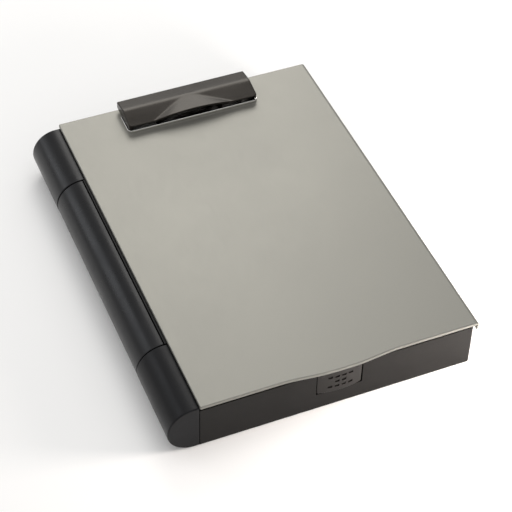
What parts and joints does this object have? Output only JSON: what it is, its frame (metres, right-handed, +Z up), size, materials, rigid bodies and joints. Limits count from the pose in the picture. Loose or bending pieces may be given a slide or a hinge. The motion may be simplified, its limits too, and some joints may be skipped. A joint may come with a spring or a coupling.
{
  "type": "storage clipboard",
  "caption": "Storage clipboard: flat metal writing lid with a spring clip, hinged like a book on a round spine over a shallow black tray, with a front push-button latch.",
  "frame": {"origin": "on the table, under the middle of the whole outline", "axes": "+X from the spine to the right wall, +Y from the button to the clip, +Z up"},
  "size_m": [0.2732, 0.364, 0.0632],
  "materials": {
    "tray_plastic": "fine satin grain",
    "spine_plastic": "smooth satin",
    "button_plastic": "satin with sunk grip bars",
    "clip_plastic": "polished",
    "hidden_plastic": "moulded",
    "lid_metal": "satin, lacquered",
    "jaw_steel": "bright nickel",
    "clip_steel": "zinc plated",
    "pin_steel": "ground",
    "screw_steel": "zinc plated",
    "spring_steel": "drawn wire"
  },
  "bodies": {
    "tray": {"tray_shell": "tray_plastic", "front_knuckle": "spine_plastic", "rear_knuckle": "spine_plastic", "knuckle_screws": "screw_steel", "front_hinge_pin": "pin_steel", "rear_hinge_pin": "pin_steel", "latch_housing": "hidden_plastic", "latch_housing_screws": "screw_steel", "button_spring": "spring_steel"},
    "lid": {"lid_panel": "lid_metal", "hinge_leaf": "hidden_plastic", "spine_barrel": "spine_plastic", "barrel_screws": "screw_steel", "latch_hook": "hidden_plastic", "clip_base": "clip_steel", "clip_rivets": "clip_steel", "clip_axle": "pin_steel", "clip_springs": "spring_steel"},
    "clip": {"clip_jaw": "jaw_steel", "clip_cover": "clip_plastic"},
    "button": {"push_button": "button_plastic"}
  },
  "joints": [
    {"name": "lid_hinge", "type": "hinge", "parent": "tray", "child": "lid", "pos_m": [-0.1136, 0, 0.024], "axis": [0, -1, 0], "range_deg": [0, 155]},
    {"name": "clip_hinge", "type": "hinge", "parent": "lid", "child": "clip", "pos_m": [0.0099, 0.1755, 0.0565], "axis": [-1, 0, 0], "range_deg": [0, 35], "stiffness_Nm_per_rad": 0.8, "springref_deg": -28.65, "deforming": ["clip_springs"]},
    {"name": "button_push", "type": "slide", "parent": "tray", "child": "button", "axis": [0, 1, 0], "range_m": [0, 0.0025], "stiffness_N_per_m": 800, "springref_m": -0.002, "deforming": ["button_spring"]}
  ]
}
